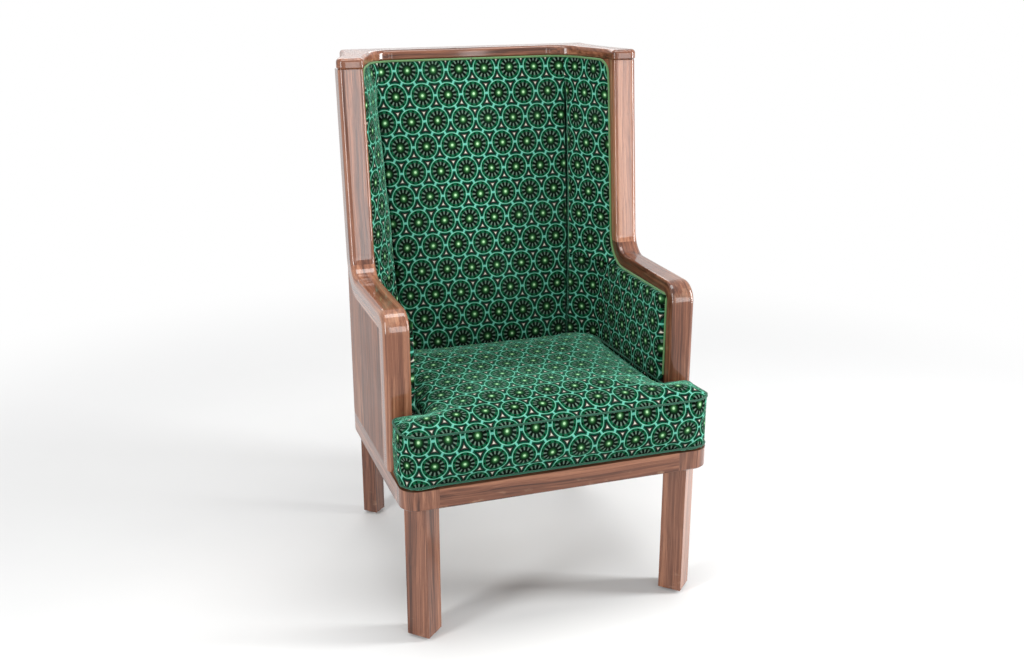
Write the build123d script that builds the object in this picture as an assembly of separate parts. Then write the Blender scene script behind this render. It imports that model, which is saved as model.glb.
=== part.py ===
from build123d import *
import os
from math import cos, pi, radians, sin, sqrt, tan, atan

os.makedirs("parts", exist_ok=True)

# A wing-backed dining armchair of the kind that stands in a railway dining saloon.
# Millimetres. The sitter faces -Y, +Z is up, and the frame's rear face is flat.
# "left" is -X and "right" is +X, as someone sees them who stands in front.

# Outline of the frame
half_w = 357.0          # middle to the outer face of a wing stile
draw_in = 50.0          # the sides draw in by this much towards the rear corners
depth = 700.0           # front of the cushion to the rear face
wing_depth = 220.0      # rear face to the face of the wing stiles, under the cap
flare_r = 100.0         # rounded start of the draw-in; the rest is a hollow curve
top_z = 1200.0          # top of the cap
fit = 0.3               # gap between a soft piece or panel and its seat

# Show-wood line of each side: leaning stile, hollow curve, level arm, rolled front
stile_w = 57.0          # width of the polished strip, seen from the front
show_t = 42.0           # depth of the strip behind its face
stile_lean = 5.6        # degrees, foot further forward than the top
hollow_r = 50.0         # hollow curve from the stile into the arm
arm_up = 353.0          # top of the arm above the seat rails
arm_back = 113.0        # front of the arm facing behind the face of the front rail
roll_r = 45.0           # rolled front end of the arm
edge_r_out = 13.0       # rounding of the strip's outer edge
edge_r_in = 9.0         # rounding of the strip's inner edge
joint_up = 25.0         # joint of stile and facing, above the arm
joint_tenon = (26.0, 15.0, 22.0)   # across, deep, long
return_d = 29.0         # bare wood between the strip's face and the cloth
ear_r = 35.0            # rounded corner of wood between the stile and the cap
ear_t = 14.0            # thickness of the ear behind its face
ear_proud = 1.5         # face of the ear in front of the line of the cloth

# Cap over back and wings
cap_t = 24.0            # thickness
cap_over = 3.0          # nosing beyond the stile and the cloth
cap_top_r = 9.0         # rounding of the upper edge
cap_low_c = 4.0         # chamfer of the lower edge
cap_outer_r = 17.0      # plan rounding of the outer front corner
cap_inner_r = 13.0      # plan rounding of the inner front corner
cap_bend_r = 60.0       # plan rounding where the nosing turns in behind the stile
cap_back_r = 70.0       # plan rounding between wing and back

# Seat frame
rail_low_z = 322.0      # underside of the rails
rail_h = 45.0           # height of the rails
rail_w = 48.0           # thickness of the front and side rails
rail_set_in = 3.0       # rails stand this far inside the outer outline
rail_edge_c = 2.5       # chamfer along the foot of the rails
block = 78.0            # plan size of a front corner block
block_r = 38.0          # rounded front corner of the seat frame
tenon = (14.0, 24.0, 22.0)   # rail tenons: thick, high, long
tenon_set_in = 8.0      # front tenons, behind the face of the frame
rear_tenon_long = 16.0  # tenon of a side rail in its rear post
rear_tenon_out = 9.0    # and how far it sits outside the post's middle
back_tenon_back = 14.0  # tenons of the back rail, behind the post's middle
ledge_w = 14.0          # ledge that carries webbing and platform
ledge_d = 10.0          # depth of the ledge below the rail's top

# Legs, set cornerwise under the frame
leg_front_sq = 54.0     # side of the square of a front leg
leg_rear_sq = 39.0      # side of the square of a rear leg
leg_set_in = 52.0       # axis of a front leg, inside the frame's faces
leg_pin_front = (12.5, 32.0)   # radius and length of the round tenon
leg_pin_rear = (9.0, 32.0)
leg_chamfer = 2.0
glide_r = 12.0          # steel glide under each leg
glide_h = 5.0
glide_pin = (2.8, 16.0)        # side and length of its square pin

# Rear frame
post_w = 60.0           # width of a rear post
post_foot_d = 56.0      # depth of the post at the seat frame
post_foot_up = 63.0     # the post tapers from this far above the rails
post_top_d = 30.0       # depth of the post at its top
post_show = 18.0        # strip of the post that shows beside the side panel
crest_h = 66.0          # rail under the cap
tack_rail_up = 103.0    # lower rail that the back upholstery is fixed to, above the rails
tack_rail_h = 50.0
tack_rail_d = 32.0

# Panels
panel_t = 9.0           # bent and flat veneered panels
panel_set_in = 3.0      # panels lie this far inside the outer outline
groove_d = 8.0          # groove that holds the back panel
inner_rail_t = 24.0     # inner rails behind the side panels
inner_rail_h = 38.0

# Webbing
web_w = 50.0
web_t = 2.0
web_side_in = 27.0      # middle of the outermost strap, inside the rear posts
web_end_in = 72.0       # the same, inside the front rail and ahead of the back one
web_flat = 54.0         # level length of a strap where another crosses
web_count = 5           # straps each way
web_ramp = 12.0         # a strap's slope from its last crossing to the ledge
web_end = 1.0           # end of a strap, short of the ledge's wall

# Upholstery
pad_top_in = 64.0       # back pad's edge under the cap, inside the rear corner
pad_low_in = 92.0       # the same at the foot of the back pad's face
back_top = 44.0         # face of the back pad under the cap, ahead of the rear plane
back_mid = (109.0, 310.0)      # a point of its face: ahead of the rear plane, below the cap
back_low = (160.0, 133.0)      # foot of its face: ahead of the rear plane, above the rails
arm_pad_proud = 14.0    # inside arm pad beyond the inner face of the strip
cushion_nose = 12.0     # cushion beyond the face of the front rail
cushion_over = 3.0      # cushion beyond the outer face of the arms
cushion_h = 139.0       # boxing plus crown
cushion_corner_r = 40.0
cushion_edge_r = 24.0
cushion_gap = 1.0       # cushion to the pads around it

# Places that follow from the sizes above
rear_half_w = half_w - draw_in
rear_y = depth / 2
stile_top_y = rear_y - wing_depth
rail_front_y = cushion_nose - depth / 2
flare_y = stile_top_y   # the sides run straight back to the stile, then draw in
cap_z = top_z - cap_t
rail_z = rail_low_z + rail_h
ledge_z = rail_z - ledge_d
arm_z = rail_z + arm_up
arm_front_y = rail_front_y + arm_back
stile_in_x = half_w - stile_w
arm_low_z = arm_z - show_t
joint_z = arm_z + joint_up
panel_rear_y = rear_y - post_show
panel_in = panel_set_in + panel_t
inner_in = panel_in + inner_rail_t
post_in_x = rear_half_w - post_w
crest_z = cap_z - crest_h
panel_y = rear_y - panel_set_in - panel_t
web_mid_z = ledge_z + web_t / 2
post_foot_z = rail_z + post_foot_up
pad_top_x = rear_half_w - pad_top_in
pad_low_x = rear_half_w - pad_low_in
pad_low_z = rail_z + back_low[1]
back_top_y = rear_y - back_top
arm_pad_x = stile_in_x - arm_pad_proud
lean = radians(stile_lean)
far = 2 * (half_w + rear_y + top_z)     # beyond the chair, for cutting blocks


def save(part, name):
    export_step(part, f"parts/{name}.step")


def save_pair(part, name):
    """The right-hand piece and its mirror image on the left."""
    save(part, name + "_right")
    save(mirror(part, about=Plane.YZ), name + "_left")


def box(x, y, z):
    """A block from three (low, high) pairs."""
    size = Box(x[1] - x[0], y[1] - y[0], z[1] - z[0])
    return Pos((x[0] + x[1]) / 2, (y[0] + y[1]) / 2, (z[0] + z[1]) / 2) * size


def prism(points, z):
    """A plan polygon raised between two heights."""
    face = make_face(Polyline(*points, close=True))
    return extrude(Pos(0, 0, z[0]) * face, amount=z[1] - z[0], dir=(0, 0, 1))


def side_prism(points, x):
    """A polygon of the side view (Y, Z) drawn out along X."""
    face = make_face(Plane.YZ * Polyline(*points, close=True))
    return extrude(Pos(x[0], 0, 0) * face, amount=x[1] - x[0], dir=(1, 0, 0))


# Side view: everything behind the show-wood line, moved back by an inset

def stile_y(z):
    return stile_top_y - (cap_z - z) * tan(lean)


hollow_y = stile_y(arm_z + hollow_r) - hollow_r / cos(lean)


def behind_line(inset, x, z_low=rail_z, z_high=cap_z):
    shift = inset / cos(lean)
    r1 = hollow_r + inset
    r2 = max(roll_r - inset, 2.0)
    low_y = arm_front_y + inset
    arm = arm_z - inset
    turn = -(lean + pi / 2) / 2
    half = sqrt(0.5)
    p0 = (stile_y(z_high) + shift, z_high)
    p1 = (hollow_y + r1 * cos(lean), arm_z + hollow_r - r1 * sin(lean))
    m1 = (hollow_y + r1 * cos(turn), arm_z + hollow_r + r1 * sin(turn))
    p2 = (hollow_y, arm)
    p3 = (low_y + r2, arm)
    m3 = (low_y + r2 - r2 * half, arm - r2 + r2 * half)
    p4 = (low_y, arm - r2)
    p5 = (low_y, z_low)
    p6 = (far, z_low)
    p7 = (far, z_high)
    line = Line(p0, p1) + ThreePointArc(p1, m1, p2) + Line(p2, p3)
    line = line + ThreePointArc(p3, m3, p4) + Line(p4, p5)
    line = line + Line(p5, p6) + Line(p6, p7) + Line(p7, p0)
    face = make_face(Plane.YZ * line)
    return extrude(Pos(x[0], 0, 0) * face, amount=x[1] - x[0], dir=(1, 0, 0))


# Plan view: the outer curve of a side, moved in by an inset

flare_turn = 2 * atan(draw_in / (rear_y - flare_y))
hollow_side_r = (rear_y - flare_y) / sin(flare_turn) - flare_r


def curve_points(inset):
    r1 = flare_r - inset
    r2 = hollow_side_r + inset
    x1 = half_w - flare_r
    x2 = rear_half_w + hollow_side_r
    a = flare_turn
    start = (half_w - inset, flare_y)
    mid1 = (x1 + r1 * cos(a / 2), flare_y + r1 * sin(a / 2))
    change = (x1 + r1 * cos(a), flare_y + r1 * sin(a))
    mid2 = (x2 - r2 * cos(a / 2), rear_y - r2 * sin(a / 2))
    end = (rear_half_w - inset, rear_y)
    return start, mid1, change, mid2, end


def within_curve(inset, y_front, z, x_in=0.0):
    """Plan region between x_in and the side curve, raised between two heights."""
    p0, m0, p1, m1, p2 = curve_points(inset)
    line = Line((x_in, y_front), (p0[0], y_front)) + Line((p0[0], y_front), p0)
    line = line + ThreePointArc(p0, m0, p1) + ThreePointArc(p1, m1, p2)
    line = line + Line(p2, (x_in, rear_y)) + Line((x_in, rear_y), (x_in, y_front))
    return extrude(Pos(0, 0, z[0]) * make_face(line), amount=z[1] - z[0], dir=(0, 0, 1))


def side_strip(outer, inner, y_front, z):
    """A bent board between two insets of the side curve."""
    whole = within_curve(outer, y_front, z)
    return whole - within_curve(inner, y_front - 1, (z[0] - 1, z[1] + 1), -1.0)


# Wing stile and arm facing: one show-wood strip in two lengths

strip_x = (stile_in_x, half_w)
strip = behind_line(0, strip_x) - behind_line(show_t, (stile_in_x - 1, half_w + 1))


def on_face_line(edge, x):
    """True for an edge of the strip that lies on its show face, at the given x."""
    c = edge @ 0.5
    if abs(c.X - x) > 0.1 or abs(edge.tangent_at(0.5).X) > 0.5:
        return False
    if edge.bounding_box().max.Z - edge.bounding_box().min.Z < 0.1:
        return abs(c.Z - arm_z) < 0.1
    shown = behind_line(0.5, (stile_in_x - 1, half_w + 1), rail_z - 1, cap_z + 1)
    return not shown.is_inside(c)


outer_edges = [e for e in strip.edges() if on_face_line(e, half_w)]
strip = fillet(outer_edges, edge_r_out)
inner_edges = [e for e in strip.edges() if on_face_line(e, stile_in_x)]
strip = fillet(inner_edges, edge_r_in)

above = box((0, far), (-far, far), (joint_z, far))
tenon_x = ((stile_in_x + half_w - joint_tenon[0]) / 2, (stile_in_x + half_w + joint_tenon[0]) / 2)
tenon_mid_y = hollow_y + hollow_r + show_t / 2
tenon_y = (tenon_mid_y - joint_tenon[1] / 2, tenon_mid_y + joint_tenon[1] / 2)
stub = box(tenon_x, tenon_y, (joint_z - joint_tenon[2], joint_z + 1))
wing_stile = (strip & above) + stub
arm_facing = (strip - above) - stub
save_pair(arm_facing, "arm_facing")

# Ear of the stile: rounds the corner of the wood under the cap, in the plane of the cloth

cloth_a = Vector(stile_in_x, stile_y(cap_z) + return_d)
cloth_b = Vector(pad_top_x, back_top_y)
cloth_dir = (cloth_b - cloth_a).normalized()
cloth_out = Vector(cloth_dir.Y, -cloth_dir.X)


def ear_block(grow):
    """The ear, grown on its open sides by a clearance."""
    mid_y = stile_y(cap_z - ear_r) + return_d + ear_r
    solid = box((0, far), (mid_y - 2 * ear_r, mid_y), (cap_z - ear_r - grow, cap_z))
    disc = Cylinder(ear_r - grow, far, rotation=(0, 90, 0))
    solid = solid - Pos(0, mid_y, cap_z - ear_r) * disc
    solid = solid & behind_line(return_d, (0, far))
    plan = [
        cloth_a - cloth_dir * ear_r - cloth_out * (ear_proud + grow),
        cloth_a + cloth_dir * 3 * ear_r - cloth_out * (ear_proud + grow),
        cloth_a + cloth_dir * 3 * ear_r + cloth_out * (ear_t + grow),
        cloth_a - cloth_dir * ear_r + cloth_out * (ear_t + grow),
    ]
    return solid & prism([(p.X, p.Y) for p in plan], (0, cap_z))


strip_block = behind_line(0, strip_x) - behind_line(show_t, (0, far))
wing_stile = wing_stile + (ear_block(0) - strip_block)
save_pair(wing_stile, "wing_stile")

# Rear posts: raked in front, rebated for the side panels

post_face = [
    (rear_y - post_foot_d, rail_low_z),
    (rear_y - post_foot_d, post_foot_z),
    (rear_y - post_top_d, cap_z),
    (rear_y, cap_z),
    (rear_y, rail_low_z),
]
rear_post = side_prism(post_face, (post_in_x, rear_half_w))
beyond = box((0, far), (-far, panel_rear_y), (rail_z, cap_z))
rear_post = rear_post - (beyond - within_curve(panel_in, -far, (0, top_z)))
groove_z = (rail_z - groove_d, crest_z + groove_d)
back_groove = box((-post_in_x - groove_d, post_in_x + groove_d), (panel_y, rear_y - panel_set_in), groove_z)
leg_rear_x = rear_half_w - post_w / 2
leg_rear_y = rear_y - post_foot_d / 2
rear_bore = Pos(leg_rear_x, leg_rear_y, rail_low_z) * Cylinder(
    leg_pin_rear[0], leg_pin_rear[1] + 1, align=(Align.CENTER, Align.CENTER, Align.MIN))
tenon_z = (rail_low_z + (ledge_z - rail_low_z - tenon[1]) / 2, rail_low_z + (ledge_z - rail_low_z + tenon[1]) / 2)
back_tenon_mid = leg_rear_y + back_tenon_back
back_tenon_y = (back_tenon_mid - tenon[0] / 2, back_tenon_mid + tenon[0] / 2)
back_tenons = box((-post_in_x - tenon[2], post_in_x + tenon[2]), back_tenon_y, tenon_z)

# Front corner blocks, with the bore for the leg

block_x = half_w - rail_set_in
well = within_curve(rail_set_in + rail_w - ledge_w, rail_front_y + rail_w - ledge_w, (ledge_z, rail_z + 1))
well = well - box((-1, far), (rear_y - post_foot_d + ledge_w, far), (0, far))
well = well + mirror(well, about=Plane.YZ)
corner = box((block_x - block, block_x), (rail_front_y, rail_front_y + block), (rail_low_z, rail_z))
corner_edge = corner.edges().filter_by(Axis.Z).sort_by(Axis.X)[-2:].sort_by(Axis.Y)[0]
corner = fillet(corner_edge, block_r)
low_front = [
    e for e in corner.edges().group_by(Axis.Z)[0]
    if (e @ 0.5).Y < rail_front_y + block / 2 and (e @ 0.5).X > block_x - block + 1
]
corner = chamfer(low_front, rail_edge_c)
leg_front_x = block_x - leg_set_in
leg_front_y = rail_front_y + leg_set_in
front_bore = Pos(leg_front_x, leg_front_y, rail_low_z) * Cylinder(
    leg_pin_front[0], leg_pin_front[1] + 1, align=(Align.CENTER, Align.CENTER, Align.MIN))
front_tenon_y = (rail_front_y + tenon_set_in, rail_front_y + tenon_set_in + tenon[0])
front_tenons = box((-block_x + block - tenon[2], block_x - block + tenon[2]), front_tenon_y, tenon_z)
side_tenon_x = (block_x - tenon_set_in - tenon[0], block_x - tenon_set_in)
side_tenon = box(side_tenon_x, (rail_front_y + block - tenon[2], rail_front_y + block + 1), tenon_z)
corner = corner - front_bore - front_tenons - side_tenon - well
save_pair(corner, "corner_block")

# Front, side and back rails

rail_front = box((block - block_x, block_x - block), (rail_front_y, rail_front_y + rail_w), (rail_low_z, rail_z))
low_edge = rail_front.edges().filter_by(Axis.X).group_by(Axis.Z)[0].sort_by(Axis.Y)[0]
rail_front = chamfer(low_edge, rail_edge_c)
rail_front = rail_front - well + front_tenons
save(rail_front, "rail_front")

post_front_y = rear_y - post_foot_d
side_rail = side_strip(rail_set_in, rail_set_in + rail_w, rail_front_y + block, (rail_low_z, rail_z))
side_rail = side_rail - box((0, far), (post_front_y, far), (0, far)) - well
rear_tenon_mid = leg_rear_x + rear_tenon_out
rear_tenon_x = (rear_tenon_mid - tenon[0] / 2, rear_tenon_mid + tenon[0] / 2)
rear_tenon = box(rear_tenon_x, (post_front_y - 1, post_front_y + rear_tenon_long), tenon_z)
side_rail = side_rail + side_tenon + rear_tenon
save_pair(side_rail, "rail_side")

rail_back = box((-post_in_x, post_in_x), (post_front_y, rear_y), (rail_low_z, rail_z))
rail_back = rail_back - well - back_groove + back_tenons
save(rail_back, "rail_back")

rear_post = rear_post - back_groove - rear_bore - back_tenons - rear_tenon
save_pair(rear_post, "rear_post")

# Crest rail, tacking rail and outside back

crest = box((-post_in_x, post_in_x), (rear_y - post_top_d, rear_y), (crest_z, cap_z)) - back_groove
save(crest, "rail_crest")
tack_y = (panel_y - fit - tack_rail_d, panel_y - fit)
tack_z = (rail_z + tack_rail_up, rail_z + tack_rail_up + tack_rail_h)
tack = box((-post_in_x, post_in_x), tack_y, tack_z)
save(tack, "rail_tacking")
back_panel = box(
    (-post_in_x - groove_d + fit, post_in_x + groove_d - fit),
    (panel_y, rear_y - panel_set_in),
    (groove_z[0] + fit, groove_z[1] - fit))
save(back_panel, "back_panel")

# Bent side panels, and the inner rails that carry them

behind_strip = behind_line(show_t + fit, (0, far), rail_z - 1, cap_z + 1)
ahead_of_post = box((0, far), (-far, panel_rear_y - fit), (0, far))
panel_split_z = arm_low_z - inner_rail_h / 2
panel = side_strip(panel_set_in, panel_in, arm_front_y, (rail_z, cap_z))
panel = (panel & behind_strip) & ahead_of_post
upper = box((0, far), (-far, far), (panel_split_z, far))
save_pair(panel & upper, "wing_panel")
save_pair(panel - upper, "side_panel")

post_clear = side_prism(
    [(y - fit, z) for y, z in post_face[:3]] + [(far, cap_z), (far, rail_low_z)],
    (0, far))
inner_rail_rows = [
    # name, underside
    ("rail_arm", arm_low_z - inner_rail_h),
    ("rail_wing", cap_z - inner_rail_h),
]
for name, low in inner_rail_rows:
    board = side_strip(panel_in + fit, inner_in, arm_front_y, (low, low + inner_rail_h))
    board = (board & behind_line(show_t, (0, far), rail_z - 1, cap_z + 1)) - post_clear
    save_pair(board - ear_block(0), name)

# Cap: one nosed outline over back and wings, mitred at the rear corners

p0, m0, p1, m1, p2 = curve_points(-cap_over)
cap_front_y = stile_top_y - cap_over
cap_side_x = half_w - flare_r + sqrt((flare_r + cap_over) ** 2 - cap_over ** 2)
nose_x = stile_in_x - cap_over
nose_turn_y = stile_top_y + return_d - cap_over
nose_back_x = pad_top_x - cap_over
nose_back_y = back_top_y - cap_over
cap_line = Line((0, rear_y), p2) + ThreePointArc(p2, m1, p1)
cap_line = cap_line + ThreePointArc(p1, m0, (cap_side_x, cap_front_y))
cap_points = [(cap_side_x, cap_front_y), (nose_x, cap_front_y), (nose_x, nose_turn_y)]
cap_points = cap_points + [(nose_back_x, nose_back_y), (0, nose_back_y), (0, rear_y)]
cap_plan = make_face(cap_line + Polyline(*cap_points))
bend_turn = atan((nose_x - nose_back_x) / (nose_back_y - nose_turn_y))
bend_r_max = (return_d - cap_inner_r - 1) / tan(bend_turn / 2)
corner_rows = [
    # a corner of the plan, and its rounding
    (cap_points[0], cap_outer_r),
    (cap_points[1], cap_inner_r),
    (cap_points[2], min(cap_bend_r, bend_r_max)),
    (cap_points[3], cap_back_r),
]
for (x, y), r in corner_rows:
    corners = [v for v in cap_plan.vertices() if abs(v.X - x) < 0.2 and abs(v.Y - y) < 0.2]
    cap_plan = fillet(corners, r)
cap_half = extrude(Pos(0, 0, cap_z) * cap_plan, amount=cap_t, dir=(0, 0, 1))
cap = cap_half + mirror(cap_half, about=Plane.YZ)


def rim(z):
    """Edges of the cap at a height, apart from the straight rear one."""
    return [
        e for e in cap.edges()
        if abs((e @ 0.5).Z - z) < 0.01 and abs((e @ 0).Z - z) < 0.01
        and abs((e @ 0.5).Y - rear_y) > 0.5
    ]


cap = fillet(rim(top_z), cap_top_r)
cap = chamfer(rim(cap_z), cap_low_c)
mitre_dir = Vector(p2[0] - nose_back_x, rear_y - nose_back_y, 0)
mitre = Plane(origin=(p2[0], rear_y, cap_z), x_dir=mitre_dir, z_dir=mitre_dir.cross(Vector(0, 0, 1)))
right_piece = split(cap, bisect_by=mitre, keep=Keep.TOP)
right_piece = right_piece & box((0, far), (-far, far), (cap_z - 1, top_z + 1))
save_pair(right_piece, "cap_wing")
save(cap - right_piece - mirror(right_piece, about=Plane.YZ), "cap_back")

# Legs and glides

leg_rows = [
    # name, x, y, side of the square, tenon
    ("leg_front", leg_front_x, leg_front_y, leg_front_sq, leg_pin_front),
    ("leg_rear", leg_rear_x, leg_rear_y, leg_rear_sq, leg_pin_rear),
]
for name, x, y, side, pin in leg_rows:
    leg = box((-side / 2, side / 2), (-side / 2, side / 2), (glide_h, rail_low_z))
    leg = chamfer(leg.edges().group_by(Axis.Z)[0], leg_chamfer)
    base = (Align.CENTER, Align.CENTER, Align.MIN)
    leg = leg + Pos(0, 0, rail_low_z - 1) * Cylinder(pin[0], pin[1] + 1, align=base)
    half_pin = glide_pin[0] / 2
    nail = box((-half_pin, half_pin), (-half_pin, half_pin), (glide_h - 1, glide_h + glide_pin[1]))
    leg = leg - nail
    save_pair(Pos(x, y, 0) * Rot(0, 0, 45) * leg, name)
    disc = Cylinder(glide_r, glide_h, align=base)
    save_pair(Pos(x, y, 0) * Rot(0, 0, 45) * (disc + nail), name.replace("leg", "glide"))

# Webbing, interlaced: every strap passes over one neighbour and under the next

web_mid_y = (rail_front_y + rail_w + post_front_y) / 2
web_half_x = post_in_x - web_side_in
web_half_y = post_front_y - web_mid_y - web_end_in
web_steps = [2 * i / (web_count - 1) - 1 for i in range(web_count)]
web_rows_x = [step * web_half_x for step in web_steps]
web_rows_y = [web_mid_y + step * web_half_y for step in web_steps]
web_ends = (rail_front_y + rail_w - ledge_w + web_end, post_front_y + ledge_w - web_end)
web_area = within_curve(
    rail_set_in + rail_w - ledge_w + web_end, rail_front_y, (rail_low_z, rail_z))
web_area = web_area + mirror(web_area, about=Plane.YZ)


def strap_line(crossings, first, ends):
    """Side view of a strap: level at each crossing, half its thickness up or down."""
    reach = web_flat / 2 + web_ramp
    top = [(ends[0], web_mid_z), (crossings[0] - reach, web_mid_z)]
    for i, c in enumerate(crossings):
        up = web_t / 2 * first * (-1) ** i
        top.append((c - web_flat / 2, web_mid_z + up))
        top.append((c + web_flat / 2, web_mid_z + up))
    top.append((crossings[-1] + reach, web_mid_z))
    top.append((ends[1], web_mid_z))
    upper = [(a, z + web_t / 2) for a, z in top]
    lower = [(a, z - web_t / 2) for a, z in reversed(top)]
    return upper + lower


for i, (x, y) in enumerate(zip(web_rows_x, web_rows_y)):
    first = (-1) ** i
    points = strap_line(web_rows_y, first, web_ends)
    along = side_prism(points, (x - web_w / 2, x + web_w / 2))
    save(along, f"web_long_{i + 1}")
    points = strap_line(web_rows_x, -first, (-half_w, half_w))
    face = make_face(Plane.XZ * Polyline(*points, close=True))
    across = extrude(Pos(0, y - web_w / 2, 0) * face, amount=web_w, dir=(0, 1, 0))
    save(across & web_area, f"web_cross_{i + 1}")

# Felt platform on the webbing

platform_z = (web_mid_z + web_t, rail_z)
platform = within_curve(
    rail_set_in + rail_w - ledge_w + fit, rail_front_y + rail_w - ledge_w + fit, platform_z)
platform = platform - box((-1, far), (post_front_y + ledge_w - fit, far), (0, far))
platform = platform - box((post_in_x - fit, far), (post_front_y - fit, far), (0, far))
platform = platform + mirror(platform, about=Plane.YZ)
save(platform, "seat_platform")

# Upholstery: simple solids of the right size and place

back_z = (rail_z + fit, cap_z - fit)


def back_half_x(z):
    """Half width of the back pad at a height."""
    return pad_low_x + (pad_top_x - pad_low_x) * (z - pad_low_z) / (cap_z - pad_low_z)


def post_y(z):
    """Front of the rear post at a height."""
    rise = max(0.0, (z - post_foot_z) / (cap_z - post_foot_z))
    return rear_y - post_foot_d + (post_foot_d - post_top_d) * rise


ya, za = back_top_y, cap_z
yb, zb = rear_y - back_mid[0], cap_z - back_mid[1]
yc, zc = rear_y - back_low[0], pad_low_z
k = 2 * (ya * (zb - zc) + yb * (zc - za) + yc * (za - zb))
sa, sb, sc = ya * ya + za * za, yb * yb + zb * zb, yc * yc + zc * zc
face_y = (sa * (zb - zc) + sb * (zc - za) + sc * (za - zb)) / k
face_z = (sa * (yc - yb) + sb * (ya - yc) + sc * (yb - ya)) / k
face_r = sqrt((ya - face_y) ** 2 + (za - face_z) ** 2)


def back_face_y(z):
    """Face of the back pad at a height, on a circle through its three points."""
    side = 1 if yb > face_y else -1
    return face_y + side * sqrt(face_r ** 2 - (z - face_z) ** 2)


top_y, low_y = back_face_y(back_z[1]), back_face_y(back_z[0])
mid_z = (back_z[0] + back_z[1]) / 2
pad_line = ThreePointArc((top_y, back_z[1]), (back_face_y(mid_z), mid_z), (low_y, back_z[0]))
rear_line = Polyline(
    (low_y, back_z[0]), (post_y(0) - fit, back_z[0]), (post_y(post_foot_z) - fit, post_foot_z),
    (post_y(back_z[1]) - fit, back_z[1]), (top_y, back_z[1]))
pad_face = make_face(Plane.YZ * (pad_line + rear_line))
back_pad = extrude(Pos(-half_w, 0, 0) * pad_face, amount=2 * half_w, dir=(1, 0, 0))
xt, xl = back_half_x(back_z[1]), back_half_x(back_z[0])
outline = make_face(Plane.XZ * Polyline(
    (-xl, back_z[0]), (xl, back_z[0]), (xt, back_z[1]), (-xt, back_z[1]), close=True))
back_pad = back_pad & extrude(Pos(0, -far, 0) * outline, amount=2 * far, dir=(0, 1, 0))
save(back_pad, "back_pad")

split_z = arm_z - return_d
strip_clear = behind_line(-fit, (stile_in_x - fit, far), rail_z - 5, cap_z + 5)
strip_clear = strip_clear - behind_line(show_t + fit, (0, 2 * far), rail_z - 6, cap_z + 6)
pad_limit = behind_line(return_d, (0, far), rail_z - 1, cap_z + 1)
pad_limit = pad_limit & within_curve(inner_in + fit, -far, (rail_z, cap_z + 1))


def wing_section(z):
    """Plan of a wing pad at a height: its face runs from the stile to the back pad."""
    a = Vector(stile_in_x, stile_y(z) + return_d)
    if z < arm_z + hollow_r:
        a = Vector(stile_in_x, stile_y(arm_z + hollow_r) + return_d)
    b = Vector(back_half_x(z) + fit, back_face_y(z))
    ahead = a + (a - b) * 0.6
    rear = post_y(z) - fit
    side_x = half_w + stile_w
    points = [(ahead.X, ahead.Y), (b.X, b.Y), (b.X, rear), (side_x, rear), (side_x, ahead.Y)]
    return Pos(0, 0, z) * make_face(Polyline(*points, close=True))


wing_pad = loft([wing_section(split_z + fit), wing_section(cap_z - fit)], ruled=True)
wing_pad = (wing_pad & pad_limit) - strip_clear - ear_block(fit)
save_pair(wing_pad, "wing_pad")

bend_a = Vector(stile_in_x, stile_y(arm_z + hollow_r) + return_d)
bend_b = Vector(back_half_x(split_z) + fit, back_face_y(split_z))
bend_y = bend_a.Y + (bend_b.Y - bend_a.Y) * (stile_in_x - arm_pad_x) / (stile_in_x - bend_b.X)


def arm_section(z):
    """Plan of an inside arm pad at a height."""
    b = Vector(back_half_x(z) + fit, back_face_y(z))
    rear = rear_y - post_foot_d - fit
    points = [(arm_pad_x, arm_front_y), (arm_pad_x, bend_y), (b.X, b.Y), (b.X, rear)]
    points = points + [(half_w, rear), (half_w, arm_front_y)]
    return Pos(0, 0, z) * make_face(Polyline(*points, close=True))


arm_pad = loft([arm_section(rail_z + fit), arm_section(split_z)], ruled=True)
arm_pad = (arm_pad & pad_limit) - strip_clear
save_pair(arm_pad, "arm_pad")

seat_in = arm_pad_x - cushion_gap
shoulder_y = arm_front_y - cushion_gap
seat_rear_y = back_face_y(rail_z) - cushion_gap
seat_rear_x = back_half_x(rail_z) - cushion_gap
cushion_half_w = half_w + cushion_over
cushion_front_y = rail_front_y - cushion_nose
cushion_plan = [
    (-cushion_half_w, cushion_front_y), (cushion_half_w, cushion_front_y),
    (cushion_half_w, shoulder_y), (seat_in, shoulder_y),
    (seat_in, bend_y - 2 * cushion_gap), (seat_rear_x, seat_rear_y),
    (-seat_rear_x, seat_rear_y), (-seat_in, bend_y - 2 * cushion_gap),
    (-seat_in, shoulder_y), (-cushion_half_w, shoulder_y),
]
cushion = prism(cushion_plan, (rail_z + fit, rail_z + fit + cushion_h))
nose_edges = [
    e for e in cushion.edges().filter_by(Axis.Z)
    if abs((e @ 0.5).Y - cushion_front_y) < 0.1
]
cushion = fillet(nose_edges, cushion_corner_r)
cushion = fillet(cushion.edges().group_by(Axis.Z)[-1], cushion_edge_r)
save(cushion, "seat_cushion")
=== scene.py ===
# %% [markdown]
# # A wing-backed dining armchair
#
# The chair comes from the saloon of a railway coach: a polished hardwood frame with high wings,
# stuffed pads covered in a figured green moquette, and a loose T-shaped seat cushion.
# The frame arrives as finished solids. This lesson gives them their finishes, and makes the covers
# and the piping, which solids can't show well.

from math import atan2, cos, pi, radians, sin, sqrt, tan

import bmesh
import bpy
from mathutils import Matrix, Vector, noise
from mathutils.bvhtree import BVHTree


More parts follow.
